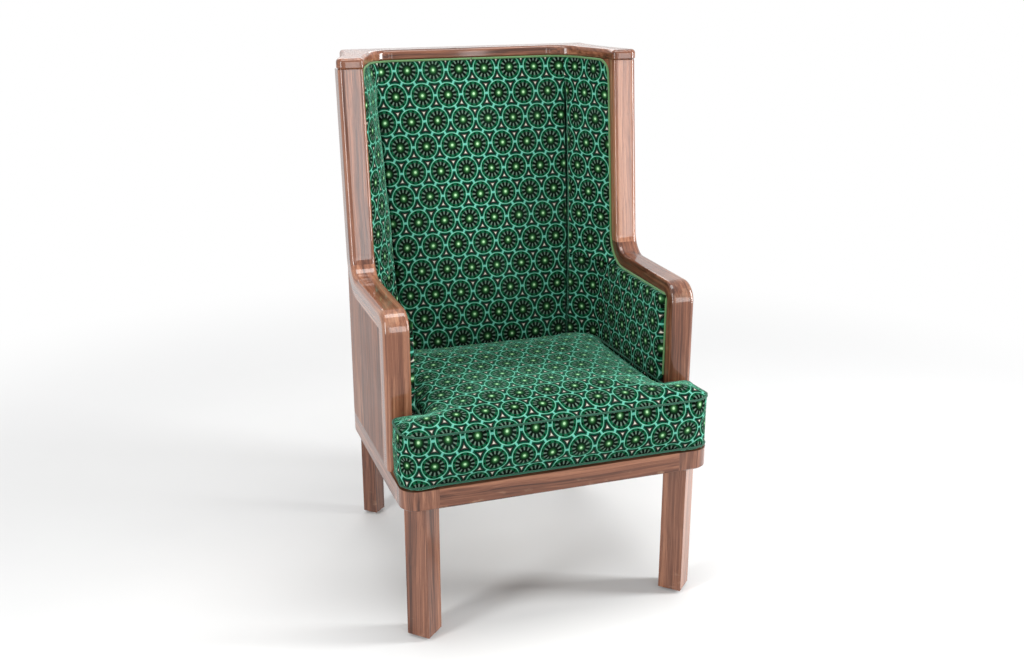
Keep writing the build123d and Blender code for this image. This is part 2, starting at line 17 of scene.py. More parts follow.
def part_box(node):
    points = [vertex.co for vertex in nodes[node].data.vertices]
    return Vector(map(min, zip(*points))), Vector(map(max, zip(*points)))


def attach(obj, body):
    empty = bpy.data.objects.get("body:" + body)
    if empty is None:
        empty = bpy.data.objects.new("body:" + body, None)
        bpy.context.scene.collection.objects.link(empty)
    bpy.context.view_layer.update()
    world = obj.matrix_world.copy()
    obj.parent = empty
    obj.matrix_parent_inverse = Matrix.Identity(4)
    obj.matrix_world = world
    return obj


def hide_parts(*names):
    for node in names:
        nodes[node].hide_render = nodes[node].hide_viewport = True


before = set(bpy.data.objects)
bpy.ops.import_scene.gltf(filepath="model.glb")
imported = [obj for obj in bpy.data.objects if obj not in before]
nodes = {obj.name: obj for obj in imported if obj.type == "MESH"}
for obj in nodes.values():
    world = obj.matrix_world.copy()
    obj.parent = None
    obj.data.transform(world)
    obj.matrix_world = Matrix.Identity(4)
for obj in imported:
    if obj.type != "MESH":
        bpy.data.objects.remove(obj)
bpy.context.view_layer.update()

# %% [markdown]
# ## Places read from the frame
#
# A cover is cut to the frame it goes on, so sizes are read from the frame's solids. The few that
# no box gives, such as how far behind the wood's face the cloth starts, are written here in metres.

# %% Sizes of the frame and the cloth's line
cap_low, cap_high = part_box("cap_back")
facing_low, facing_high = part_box("arm_facing_right")
cushion_low, cushion_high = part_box("seat_cushion")

CAP_Z = cap_low[2]        # underside of the cap
REAR_Y = cap_high[1]
JOINT_UP = 0.025          # joint of facing and stile, above the arm
ARM_Z = facing_high[2] - JOINT_UP
ARM_FRONT = facing_low[1]
STILE_IN = facing_low[0]  # inner face of stile and facing
RAIL_TOP = facing_low[2]
RAIL_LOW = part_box("rail_front")[0][2]

LEAN = radians(5.6)  # of the wing stiles
STILE_TOP_Y = 0.130  # their face under the cap
HOLLOW_R = 0.050     # hollow curve from the stile into the arm
ROLL_R = 0.045       # rolled front end of the arm
RETURN_D = 0.029     # bare wood between the wood's face and the cloth
CAP_BACK_R = 0.070   # plan rounding of the cap between wing and back
EAR_R = 0.035        # rounded corner of wood between stile and cap

PAD_TOP_X = 0.243  # half width of the back pad under the cap
PAD_LOW_X = 0.215  # and at the foot of its face
PAD_LOW_Z = RAIL_TOP + 0.133
PADS_FROM = RAIL_TOP + 0.030
PADS_TO = CAP_Z - 0.0015
ARM_PAD_X = STILE_IN - 0.014
SEAM = 0.001       # a seam between two covers, or cover and wood
print("cap underside", round(CAP_Z, 3), "arm top", round(ARM_Z, 3), "stile inner face", round(STILE_IN, 3))

# %% [markdown]
# ## A short way to write node graphs
#
# Every finish here is procedural: numbers turn into colour, roughness and bump. The class below
# only shortens the calls, so that each finish reads like a recipe.

# %% Graph helper


def add_object(name, data):
    made = bpy.data.objects.new(name, data)
    bpy.context.scene.collection.objects.link(made)
    return made


def tone(red, green, blue):
    """A colour as it is mixed (0 to 255), in the linear values that the shader wants."""
    def linear(c):
        c = c / 255
        return c / 12.92 if c <= 0.04045 else ((c + 0.055) / 1.055) ** 2.4
    return (linear(red), linear(green), linear(blue), 1.0)


class Finish:
    """A material whose graph is built step by step."""

    def __init__(self, name, **sockets):
        self.material = bpy.data.materials.new(name)
        self.material.use_nodes = True
        self.tree = self.material.node_tree
        self.tree.nodes.clear()
        self.out = self.tree.nodes.new("ShaderNodeOutputMaterial")
        self.shader = self.tree.nodes.new("ShaderNodeBsdfPrincipled")
        self.tree.links.new(self.shader.outputs[0], self.out.inputs[0])
        for socket, value in sockets.items():
            self.shader.inputs[socket.replace("_", " ")].default_value = value

    def put(self, socket, value):
        if isinstance(value, bpy.types.NodeSocket):
            self.tree.links.new(value, socket)
        else:
            socket.default_value = value

    def node(self, kind, inputs=(), **settings):
        made = self.tree.nodes.new(kind)
        for key, value in settings.items():
            setattr(made, key, value)
        for key, value in dict(inputs).items():
            self.put(made.inputs[key], value)
        return made

    def math(self, operation, a, b=0.0, c=0.0):
        made = self.tree.nodes.new("ShaderNodeMath")
        made.operation = operation
        for socket, value in zip(made.inputs, (a, b, c)):
            self.put(socket, value)
        return made.outputs[0]

    def times(self, a, b):
        return self.math("MULTIPLY", a, b)

    def plus(self, a, b):
        return self.math("ADD", a, b)

    def minus(self, a, b):
        return self.math("SUBTRACT", a, b)

    def split(self, vector):
        return self.node("ShaderNodeSeparateXYZ", {"Vector": vector}).outputs

    def band(self, value, low, high, soft):
        """1 between low and high, fading over soft."""
        up = self.step(value, low - soft, low + soft)
        down = self.step(value, high - soft, high + soft)
        return self.minus(up, down)

    def step(self, value, low, high):
        """0 at low and 1 at high, smoothly."""
        made = self.node("ShaderNodeMapRange", {"Value": value, "From Min": low, "From Max": high})
        made.interpolation_type = "SMOOTHSTEP"
        return made.outputs[0]

    def mix(self, factor, a, b, kind="MIX"):
        made = self.tree.nodes.new("ShaderNodeMix")
        made.data_type = "RGBA"
        made.blend_type = kind
        self.put(made.inputs[0], factor)
        self.put(made.inputs[6], a)
        self.put(made.inputs[7], b)
        return made.outputs[2]

    def ramp(self, value, stops):
        made = self.node("ShaderNodeValToRGB", {"Fac": value})
        ramp = made.color_ramp
        while len(ramp.elements) < len(stops):
            ramp.elements.new(0.5)
        for element, (place, colour) in zip(ramp.elements, stops):
            element.position = place
            element.color = colour
        return made.outputs[0]

    def stretched(self, vector, scale):
        return self.node("ShaderNodeMapping", {"Vector": vector, "Scale": scale}).outputs[0]

    def place(self):
        """Object coordinates, which are the frame's own."""
        return self.node("ShaderNodeTexCoord").outputs["Object"]

    def noise(self, vector, scale, detail=3.0, roughness=0.55, distortion=0.0):
        made = self.node("ShaderNodeTexNoise", {
            "Vector": vector, "Scale": scale, "Detail": detail,
            "Roughness": roughness, "Distortion": distortion})
        return made.outputs[0]

    def colour(self, value):
        self.put(self.shader.inputs["Base Color"], value)

    def rough(self, value):
        self.put(self.shader.inputs["Roughness"], value)

    def bump(self, height, strength, distance):
        made = self.node(
            "ShaderNodeBump", {"Height": height, "Strength": strength, "Distance": distance})
        self.put(self.shader.inputs["Normal"], made.outputs[0])


# %% [markdown]
# ## Polished hardwood
#
# The show-wood is a straight-grained red-brown hardwood under french polish. It has wide ribbon
# stripes that fade into each other, narrow streaks, thin growth lines that run nearly the whole
# length, and short dark pores. All are 3-D noise stretched along the grain, so they run on over
# the rounded edges as real grain does. A growth line is a contour of such noise: the places where
# it passes one value. A slow noise bends the grain a little, and end grain is darker. The polish
# is a clear coat, dulled where hands, shoes and brooms have rubbed or knocked it.

# %% Wood recipe
SWAY = 0.028  # most that the slow noise moves the grain sideways
SCUFF = tone(186, 150, 122)


def wood_finish(name, vector_of, tones, coat, figure=0.0, wear=None):
    """Wood with its grain along the third axis of the coordinates that vector_of gives. vector_of
    also says how much of a surface is end grain, and wear where the polish is rubbed or knocked."""
    f = Finish(name, Coat_Weight=coat, Coat_Roughness=0.07, Specular_IOR_Level=0.08)
    straight, end = vector_of(f)
    slow = f.stretched(straight, (7, 7, 2.4))
    bend = f.node("ShaderNodeTexNoise", {"Vector": slow, "Scale": 1.0, "Detail": 2.0})
    grain = f.node(
        "ShaderNodeVectorMath", {0: bend.outputs["Color"], 1: (SWAY, SWAY, 0.0), 2: straight},
        operation="MULTIPLY_ADD").outputs[0]

    def layer(across, lengthwise, detail=2.0, distortion=0.0):
        """Noise with so many features in a metre, across the grain and along it."""
        return f.noise(f.stretched(grain, (across, across, lengthwise)), 1.0, detail, 0.5, distortion)

    ribbon = layer(38, 0.30)
    board = layer(5, 0.5, 1.0)
    streak = layer(170, 0.55, 3.0)
    fibre = layer(700, 5.0)
    amount = f.times(ribbon, 0.30)
    for part, share in ((board, 0.22), (streak, 0.28), (fibre, 0.20)):
        amount = f.math("MULTIPLY_ADD", part, share, amount)
    base = f.ramp(amount, list(zip((0.40, 0.47, 0.53, 0.60), tones)))
    if figure:
        rings = f.math("SINE", f.times(layer(9, 0.9, 1.0, 0.4), 170.0))
        base = f.mix(f.times(f.step(rings, 0.2, 1.0), figure), base, tones[0])
    growth = f.band(layer(75, 0.35), 0.485, 0.495, 0.010)
    pores = f.step(layer(1500, 70.0, 1.0), 0.60, 0.70)
    for part, share, dark in ((growth, 0.25, 0), (pores, 0.30, 0), (end, 0.75, 1)):
        base = f.mix(f.times(part, share), base, tones[dark])
    smear = f.noise(f.place(), 16.0, 3.0)
    rough = f.math("MULTIPLY_ADD", fibre, 0.12, f.math("MULTIPLY_ADD", smear, 0.20, 0.26))
    if wear:
        marks = wear(f)
        base = f.mix(f.times(marks, 0.45), base, SCUFF)
        rough = f.math("MULTIPLY_ADD", marks, 0.3, rough)
    f.colour(base)
    f.rough(rough)
    f.bump(f.math("MULTIPLY_ADD", fibre, 0.2, f.times(pores, -0.6)), 0.06, 0.0004)
    return f.material


# %% Wear of the polish


def knocked(most, none):
    """Small marks of shoes and brooms, most of them at one height and none at another."""
    def marks(f):
        spots = f.noise(f.stretched(f.place(), (26, 26, 60)), 1.0, 3.0, 0.55)
        return f.times(f.step(spots, 0.56, 0.74), f.step(f.split(f.place())[2], none, most))
    return marks


def rubbed(f):
    """The front end of the arm, where hands have dulled the polish."""
    y, z = f.split(f.place())[1:]
    end = f.times(f.step(y, ARM_FRONT + 0.12, ARM_FRONT), f.step(z, ARM_Z - 0.06, ARM_Z))
    patches = f.noise(f.stretched(f.place(), (40, 18, 40)), 1.0, 4.0, 0.6)
    return f.times(end, f.step(patches, 0.40, 0.75))


# %% Run of the grain


def along(axis):
    """Coordinates whose third axis is the given one, so that grain runs along it."""
    order = {"x": (1, 2, 0), "y": (0, 2, 1), "z": (0, 1, 2)}[axis]

    def vector_of(f):
        places = f.split(f.place())
        turned = f.node("ShaderNodeCombineXYZ", {key: places[i] for key, i in zip("XYZ", order)})
        facing = f.split(f.node("ShaderNodeNewGeometry").outputs["Normal"])[order[2]]
        return turned.outputs[0], f.step(f.math("ABSOLUTE", facing), 0.6, 0.95)
    return vector_of


def along_strip(shift):
    """Grain that follows the show-wood: up the arm's front, back along it, and up the stile."""
    def vector_of(f):
        x, y, z = f.split(f.place())
        behind = f.minus(y, ARM_FRONT)
        below = f.minus(ARM_Z, z)
        lean = f.math("MULTIPLY_ADD", z, -tan(LEAN), CAP_Z * tan(LEAN) - STILE_TOP_Y)
        inside = f.math("SMOOTH_MAX", below, f.plus(y, lean), 0.06)
        depth = f.math("SMOOTH_MIN", behind, inside, 0.05)
        run = f.plus(f.plus(y, z), shift)
        return f.node("ShaderNodeCombineXYZ", {"X": x, "Y": depth, "Z": run}).outputs[0], 0.0
    return vector_of


# %% Wood finishes
# Each wood has four tones, from its dark streaks to its pale ones
RED_BROWN = [tone(62, 32, 20), tone(104, 62, 43), tone(132, 84, 61), tone(160, 110, 82)]
VENEER = [tone(56, 28, 18), tone(96, 56, 38), tone(126, 78, 55), tone(154, 104, 76)]
BEECH = [tone(120, 90, 62), tone(158, 124, 88), tone(184, 150, 112), tone(204, 174, 138)]

low_on_legs = knocked(most=0.005, none=0.085)
low_on_rail = knocked(most=RAIL_LOW, none=RAIL_LOW + 0.028)
wood_up = wood_finish("wood_upright", along("z"), RED_BROWN, coat=1.0, wear=low_on_legs)
wood_across = wood_finish("wood_across", along("x"), RED_BROWN, coat=0.8, wear=low_on_rail)
wood_back = wood_finish("wood_front_to_back", along("y"), RED_BROWN, coat=0.8)
wood_stile = wood_finish("wood_stile", along_strip(0.0), RED_BROWN, coat=1.0)
wood_arm = wood_finish("wood_arm", along_strip(7.0), RED_BROWN, coat=1.0, wear=rubbed)
veneer = wood_finish("figured_veneer", along("z"), VENEER, coat=0.35, figure=0.35)
beech = wood_finish("bare_beech", along("x"), BEECH, coat=0.0)
print("wood finishes:", wood_up.name, wood_across.name, wood_back.name, veneer.name, beech.name)

# %% [markdown]
# ## Give the rigid pieces their finishes
#
# Nothing here changes a solid. Each piece only gets the material whose grain runs along it.

# %% Finishes of the frame


def paint(piece, material):
    piece.data.materials.clear()
    piece.data.materials.append(material)


def paint_nodes(rows):
    """Rows of a material and of how the names of its nodes start."""
    for material, starts in rows:
        for name, node in nodes.items():
            if name.startswith(tuple(starts)):
                paint(node, material)


paint_nodes([
    (wood_up, ["rear_post", "leg_front", "leg_rear", "corner_block"]),
    (wood_stile, ["wing_stile"]),
    (wood_back, ["cap_wing", "rail_side"]),
    (wood_arm, ["arm_facing"]),
    (wood_across, ["cap_back", "rail_front", "rail_back", "rail_crest"]),
    (veneer, ["wing_panel", "side_panel", "back_panel"]),
    (beech, ["rail_arm", "rail_wing", "rail_tacking"]),
])

# %% [markdown]
# ## Steel glides, jute webbing and felt
#
# Three plain workshop materials: dulled steel under the feet, jute webbing in a twill weave under
# the seat, and the grey felt that lies on it.

# %% Workshop materials
YARN = 0.0024  # from yarn to yarn, along the webbing
PICK = 0.0030  # and across it

steel = Finish("glide_steel", Metallic=1.0)
dulled = steel.noise(steel.place(), 700.0, 4.0, 0.7)
steel.colour(steel.mix(dulled, tone(150, 148, 142), tone(196, 194, 188)))
steel.rough(steel.math("MULTIPLY_ADD", dulled, 0.25, 0.28))


def jute_finish(name, run, across):
    """Twill webbing that runs along one axis."""
    f = Finish(name, Roughness=0.92, Sheen_Weight=0.2)
    axes = dict(zip("xyz", f.split(f.place())))
    a = f.times(axes[run], 2 * pi / YARN)
    b = f.times(axes[across], 2 * pi / PICK)
    weave = f.math("SINE", f.plus(a, b))
    yarn = f.math("SINE", f.minus(f.times(b, 2.0), a))
    height = f.plus(f.times(weave, 0.3), f.times(yarn, 0.2))
    hairs = f.noise(f.place(), 900.0, 3.0, 0.7)
    base = f.mix(hairs, tone(150, 124, 84), tone(196, 170, 124))
    # Painted shade: the colour is darker where the weave lies low, in the hollows between the yarns.
    f.colour(f.mix(f.times(f.step(height, -0.4, 0.3), 0.5), tone(112, 88, 56), base))
    f.bump(height, 0.5, 0.0008)
    return f.material


jute_long = jute_finish("jute_long", "y", "x")
jute_cross = jute_finish("jute_cross", "x", "y")
felt = Finish("grey_felt", Roughness=0.97, Sheen_Weight=0.3)
fluff = felt.noise(felt.place(), 420.0, 5.0, 0.75)
felt.colour(felt.ramp(fluff, [(0.35, tone(44, 46, 44)), (0.65, tone(86, 88, 84))]))
felt.bump(fluff, 0.5, 0.001)
paint_nodes([
    (steel.material, ["glide"]),
    (jute_long, ["web_long"]),
    (jute_cross, ["web_cross"]),
    (felt.material, ["seat_platform"]),
])
print("workshop materials:", steel.material.name, jute_long.name, jute_cross.name, felt.material.name)

# %% [markdown]
# ## Figured moquette
#
# Moquette is a woven wool pile, partly cut and partly looped. Its figure here is a common
# geometric one: rows of ringed rosettes, each row set half a repeat aside, so that every ring
# touches six others. It is worked out from the cover's own coordinates in metres: the nearest of
# two staggered grids of centres gives the distance and the angle from the rosette's middle, and
# each part of the figure is a band of one or both.

# %% Lattice of the figure
REPEAT = 0.064  # width of a repeat
TALLER = 1.06   # a loom's stretch of it along the cloth
WANDER = 0.08   # how far the weave strays from a true lattice, in repeats
FUZZ = 0.030    # unevenness of every edge, in repeats


def rosette_place(f, cloth):
    """Distance, in repeats, and angle from the middle of the nearest rosette."""
    u, v, _ = f.split(cloth)
    wander = f.times(f.minus(f.noise(cloth, 14.0, 2.0), 0.5), WANDER)
    u = f.plus(f.math("DIVIDE", u, REPEAT), wander)
    v = f.plus(f.math("DIVIDE", v, REPEAT * TALLER), wander)
    row = f.math("DIVIDE", v, sqrt(3))

    def local(shift):
        x = f.minus(f.math("FRACT", f.plus(u, shift)), 0.5)
        y = f.minus(f.math("FRACT", f.plus(row, shift)), 0.5)
        y = f.times(y, sqrt(3))
        size = f.math("SQRT", f.plus(f.times(x, x), f.times(y, y)))
        return x, y, size

    xa, ya, ra = local(0.5)
    xb, yb, rb = local(0.0)
    use_b = f.math("LESS_THAN", rb, ra)
    x = f.math("MULTIPLY_ADD", use_b, f.minus(xb, xa), xa)
    y = f.math("MULTIPLY_ADD", use_b, f.minus(yb, ya), ya)
    fuzz = f.minus(f.noise(cloth, 1500.0, 2.0, 0.7), 0.5)
    r = f.math("MULTIPLY_ADD", fuzz, FUZZ, f.math("MINIMUM", ra, rb))
    return r, f.math("ARCTAN2", y, x)


# %% [markdown]
# The rosette has a glowing heart, twelve spokes, a notched rim and a bright ring. Six links join
# the ring to its neighbours, and in each three-sided space between rings stands a cream dot. The
# parts are listed from the lowest up, each with its colour and how well it covers what is under it.

# %% Parts of the figure


def figure_parts(f, r, angle):
    """Rows of where a part lies, its tone and its cover, for the whole figure; and the ring."""
    six = f.math("COSINE", f.times(angle, 6))
    twelve = f.math("COSINE", f.times(angle, 12))
    on_spoke = f.step(twelve, 0.15, 0.75)
    between = f.step(twelve, 0.1, -0.5)
    toward = f.step(six, 0.80, 0.97)
    beside = f.band(six, 0.15, 0.74, 0.15)
    ring = f.band(r, 0.417, 0.443, 0.009)
    ring_tone = f.mix(f.math("MULTIPLY_ADD", six, 0.5, 0.5), tone(104, 180, 150), tone(134, 212, 186))
    return [
        (f.step(r, 0.43, 0.45), tone(2, 32, 25), 1.0),
        (f.band(r, 0.325, 0.415, 0.012), tone(16, 94, 60), 0.85),
        (f.times(between, f.band(r, 0.340, 0.394, 0.011)), tone(1, 8, 4), 0.95),
        (f.times(between, f.band(r, 0.180, 0.320, 0.020)), tone(2, 9, 5), 0.9),
        (f.times(on_spoke, f.band(r, 0.205, 0.320, 0.020)), tone(116, 144, 126), 0.7),
        (f.step(r, 0.200, 0.080), tone(20, 62, 28), 0.9),
        (f.step(r, 0.125, 0.045), tone(74, 134, 80), 0.9),
        (f.step(r, 0.060, 0.025), tone(190, 236, 184), 1.0),
        (f.band(r, 0.464, 0.482, 0.008), tone(10, 92, 62), 0.8),
        (f.step(r, 0.488, 0.502), tone(2, 20, 16), 0.85),
        (f.band(r, 0.522, 0.545, 0.010), tone(96, 90, 80), 0.45),
        (f.step(r, 0.542, 0.558), tone(216, 214, 196), 1.0),
        (f.times(beside, f.band(r, 0.440, 0.490, 0.008)), tone(12, 96, 64), 0.55),
        (f.times(toward, f.step(r, 0.435, 0.450)), tone(100, 186, 164), 1.0),
        (ring, ring_tone, 1.0),
    ], ring


# %% [markdown]
# Over the figure lies the pile. Fine noise makes each tuft a little lighter or darker, ribs of
# the weave run across, and the looped parts lie lower than the cut ones. Sheen gives the pale
# bloom that a wool pile has where it is seen from the side.

# %% Moquette recipe
RIB = 0.0014  # from rib to rib of the weave
GROUND = tone(2, 18, 9)


def moquette_finish():
    f = Finish(
        "figured_moquette", Roughness=0.95, Specular_IOR_Level=0.05, Sheen_Weight=1.0,
        Sheen_Roughness=0.17, Sheen_Tint=tone(130, 225, 185))
    cloth = f.node("ShaderNodeUVMap", uv_map="cloth").outputs[0]
    r, angle = rosette_place(f, cloth)
    parts, ring = figure_parts(f, r, angle)
    base = GROUND
    for mask, part_tone, cover in parts:
        base = f.mix(f.times(mask, cover), base, part_tone)
    tuft = f.noise(cloth, 900.0, 3.0, 0.7)
    dull = f.ramp(tuft, [(0.25, (0.30, 0.30, 0.30, 1)), (0.70, (1, 1, 1, 1))])
    base = f.mix(0.6, base, dull, "MULTIPLY")
    worn = f.noise(cloth, 9.0, 3.0)
    base = f.mix(f.times(f.step(worn, 0.45, 0.75), 0.03), base, tone(90, 140, 118))
    f.colour(base)
    ribs = f.math("SINE", f.times(f.split(cloth)[1], 2 * pi / RIB))
    height = f.math("MULTIPLY_ADD", ribs, 0.22, f.times(ring, -0.5))
    height = f.math("MULTIPLY_ADD", tuft, 0.9, height)
    f.bump(height, 0.45, 0.0008)
    return f.material


moquette = moquette_finish()
print("repeat of the figure:", REPEAT * 1000, "mm")

# %% [markdown]
# ## Lines that the covers follow
#
# Seen from the side, the edge of the cloth runs a finger's width behind the face of the wood: up
# the arm's front, over its roll, back along the arm, through the hollow and up the leaning stile.
# Seen from above, the wings' faces slope inwards to the back. The small functions below give
# those lines, and pads and piping share them.

# %% Side line


def stile_y(z):
    """Face of the leaning stile at a height."""
    return STILE_TOP_Y - (CAP_Z - z) * tan(LEAN)


HOLLOW_Y = stile_y(ARM_Z + HOLLOW_R) - HOLLOW_R / cos(LEAN)


def cloth_front_y(z):
    """Front edge of the cloth beside a wing stile at a height."""
    up = ARM_Z + HOLLOW_R - z
    if up <= 0:
        return stile_y(z) + RETURN_D
    reach = HOLLOW_R + RETURN_D
    return HOLLOW_Y + sqrt(max(reach ** 2 - min(up, reach) ** 2, 0.0))


# %% Back line
# Three points (y, z) of the back pad's face
BACK_TOP = (REAR_Y - 0.044, CAP_Z)
BACK_MID = (REAR_Y - 0.109, CAP_Z - 0.310)
BACK_FOOT = (REAR_Y - 0.160, PAD_LOW_Z)

CORNER_HALF = radians(55.5)  # half the plan angle between wing and back
CORNER_TURN = CAP_BACK_R / tan(CORNER_HALF)
CORNER_FADE = 0.11           # the corner's rounding dies out over this height


def circle_through(*places):
    """Centre and radius of the circle through three (y, z) points, by complex numbers."""
    a, b, c = [complex(*place) for place in places]
    w = (c - a) / (b - a)
    middle = a + (b - a) * (w - abs(w) ** 2) / (2j * w.imag)
    return middle.real, middle.imag, abs(a - middle)


face_y, face_z, face_r = circle_through(BACK_TOP, BACK_MID, BACK_FOOT)


def back_y(z):
    """Face of the back pad at a height. The circle's centre lies behind the chair."""
    return face_y - sqrt(face_r ** 2 - (z - face_z) ** 2)


def back_half(z):
    """Half width of the back pad at a height."""
    return PAD_LOW_X + (PAD_TOP_X - PAD_LOW_X) * (z - PAD_LOW_Z) / (CAP_Z - PAD_LOW_Z)


def smooth(value):
    value = min(max(value, 0.0), 1.0)
    return value * value * (3 - 2 * value)


def corner_fill(distance, z):
    """How far the cloth comes forward near the upper corner, where the cap's edge is rounded."""
    short = max(CORNER_TURN - distance, 0.0)
    rise = CAP_BACK_R - sqrt(CAP_BACK_R ** 2 - short ** 2)
    return rise * smooth(1 - (CAP_Z - z) / CORNER_FADE)


print("back pad face:", round(back_y(CAP_Z), 3), "to", round(back_y(PAD_LOW_Z), 3))

# %% [markdown]
# ## Stuffed pads
#
# A stuffed-over pad is tight: nearly flat in the middle, crowned a little, and rolled back at
# every edge, where it is tacked out of sight. So each pad is a fine grid laid on its face, pushed
# back along a quarter circle near its edges, with a skirt and a back that close it. The rows are
# closer together near an edge, where all the bending is. A little slow unevenness, as in hair
# stuffing, keeps it from looking moulded.

# %% Pad builder
UNEVEN = 0.0016               # of the stuffing
LUMPS = 9                     # in a metre
TUCK = Vector((0, 0.026, 0))  # from a side pad's face to its hidden side, behind the back pad
TUCK_FROM = 0.88              # share of the width where that begins


def spread(count):
    """Parameters from 0 to 1, closer together near both ends."""
    turns = [pi * i / count for i in range(count + 1)]
    return [0.5 - 0.5 * cos(turn) * (1 - 0.25 * sin(turn)) for turn in turns]


def stuffed_pad(name, surface, size, rolls, crown, depth, counts, seed=0.0, tuck=None):
    """A closed pad. surface(s, t) gives a point, the outward normal and the cover's own (u, v) in
    metres. size is (width, height), rolls are the edge radii at s=0, s=1, t=0 and t=1, and tuck is
    where the hidden side goes at the s=1 edge, so that no gap shows there."""
    mesh = bmesh.new()
    columns, rows = counts
    front, back, where = [], [], {}
    for t in spread(rows):
        for s in spread(columns):
            point, normal, cover = surface(s, t)
            near_s = max(1 - s * size[0] / rolls[0], 1 - (1 - s) * size[0] / rolls[1], 0.0)
            near_t = max(1 - t * size[1] / rolls[2], 1 - (1 - t) * size[1] / rolls[3], 0.0)
            roll_s = rolls[0] if s < 0.5 else rolls[1]
            roll_t = rolls[2] if t < 0.5 else rolls[3]
            edge = min(near_s ** 2 + near_t ** 2, 1.0)
            roll = (near_s * roll_s + near_t * roll_t) / max(near_s + near_t, 1e-9)
            dome = (1 - abs(2 * s - 1) ** 3) * (1 - abs(2 * t - 1) ** 4)
            wave = noise.noise(point * LUMPS + Vector((seed, 0, 0))) * UNEVEN
            out = crown * dome + wave * (1 - edge) - roll * (1 - sqrt(1 - edge))
            behind = -normal * depth
            if tuck:
                behind = behind.lerp(tuck, smooth((s - TUCK_FROM) / (1 - TUCK_FROM)))
            for side, offset in ((front, normal * out), (back, behind)):
                vertex = mesh.verts.new(point + offset)
                where[vertex] = cover
                side.append(vertex)
    wide = columns + 1
    for j in range(rows):
        for i in range(columns):
            k = j * wide + i
            mesh.faces.new((front[k], front[k + 1], front[k + 1 + wide], front[k + wide]))
            mesh.faces.new((back[k], back[k + wide], back[k + 1 + wide], back[k + 1]))
    rim = list(range(wide))
    rim += [j * wide + columns for j in range(1, rows + 1)]
    rim += [rows * wide + i for i in range(columns - 1, -1, -1)]
    rim += [j * wide for j in range(rows - 1, 0, -1)]
    for a, b in zip(rim, rim[1:] + rim[:1]):
        mesh.faces.new((front[b], front[a], back[a], back[b]))
    bmesh.ops.recalc_face_normals(mesh, faces=mesh.faces)
    layer = mesh.loops.layers.uv.new("cloth")
    for face in mesh.faces:
        face.smooth = True
        for loop in face.loops:
            loop[layer].uv = where[loop.vert]
    data = bpy.data.meshes.new(name)
    mesh.to_mesh(data)
    mesh.free()
    data.materials.append(moquette)
    print(name, "faces:", len(data.polygons))
    return add_object(name, data)


# %% [markdown]
# ## The back pad
#
# The back leans: its face is a long shallow arc that comes forward towards the seat. The row of
# rosettes under the cap sits a hand's breadth down, with a rosette on the chair's middle line in
# every second row.

# %% Back pad
ROW_Z = CAP_Z - 0.084  # a row of rosettes, and the zero of the covers' own heights
BACK_IN = 0.0005       # the edges lie this much inside the seams with the wings
MID_Z = 0.80           # about half-way up


def back_surface(s, t):
    z = PADS_FROM + (PADS_TO - PADS_FROM) * t
    half = back_half(z) - BACK_IN
    x = (2 * s - 1) * half
    slope = (back_y(z + SEAM) - back_y(z - SEAM)) / (2 * SEAM)
    normal = Vector((0, -1, slope)).normalized()
    y = back_y(z) - corner_fill(half - abs(x), z)
    return Vector((x, y, z)), normal, (x, z - ROW_Z)


back_size = (2 * back_half(MID_Z), PADS_TO - PADS_FROM)
back_pad = stuffed_pad(
    "cover_back", back_surface, back_size, rolls=(0.007, 0.007, 0.02, 0.005), crown=0.006,
    depth=0.030, counts=(90, 130))
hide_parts("back_pad")

# %% [markdown]
# ## Wing and arm pads
#
# Each wing's face is a ruled surface between the stile and the seam with the back. The inside
# arm is one long face that turns in towards the back. Both are made for the right and mirrored
# for the left.

# %% Wing pads
SPLIT_Z = ARM_Z - RETURN_D      # seam between a wing pad and an arm pad
WING_REACH = 0.157              # width of a wing's face
WING_IN = 0.0006                # from its front edge to the stile
WING_SHIFT = PAD_TOP_X + 0.006  # where its cover starts, measured on from the back's


def side_normal(a, b):
    """Towards the sitter from a right-hand face that runs back from a to b."""
    run = (b - a).normalized()
    return Vector((-run.y, run.x, 0))


def mirrored(point, normal, cover, side):
    """The same place on the right for side 1, and on the left for side -1."""
    point = Vector((side * point.x, point.y, point.z))
    return point, Vector((side * normal.x, normal.y, 0.0)), (side * cover[0], cover[1])


def wing_surface(s, t, side):
    z = SPLIT_Z + SEAM + (PADS_TO - SPLIT_Z - SEAM) * t
    a = Vector((STILE_IN - WING_IN, cloth_front_y(z), z))
    b = Vector((back_half(z) + SEAM, back_y(z), z))
    normal = side_normal(a, b)
    reach = (b - a).length
    point = a.lerp(b, s) + normal * corner_fill((1 - s) * reach, z)
    return mirrored(point, normal, (WING_SHIFT + (1 - s) * reach, z - ROW_Z), side)


for side, word in ((1, "right"), (-1, "left")):
    pad = stuffed_pad(
        "cover_wing_" + word, lambda s, t: wing_surface(s, t, side), (WING_REACH, PADS_TO - SPLIT_Z),
        rolls=(0.006, 0.007, 0.004, 0.005), crown=0.009, depth=0.012, counts=(40, 90),
        seed=3.0 * side, tuck=TUCK)
    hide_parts("wing_pad_" + word)
    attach(pad, "root")
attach(back_pad, "root")

# %% Inside arm pads
BEND_SOFT = 0.03    # the face turns in over this much on either side of the bend
BEND_FILL = 0.006   # and is filled out there by this much
BEHIND_BEND = 0.11  # about the length of the face behind the bend
bend_foot = Vector((back_half(SPLIT_Z), back_y(SPLIT_Z), 0))
bend_front = Vector((STILE_IN, stile_y(ARM_Z + HOLLOW_R) + RETURN_D, 0))
bend_share = (STILE_IN - ARM_PAD_X) / (STILE_IN - bend_foot.x)
BEND_Y = bend_front.y + (bend_foot.y - bend_front.y) * bend_share
ARM_PAD_FRONT = ARM_FRONT + RETURN_D
FRONT_RUN = BEND_Y - ARM_PAD_FRONT


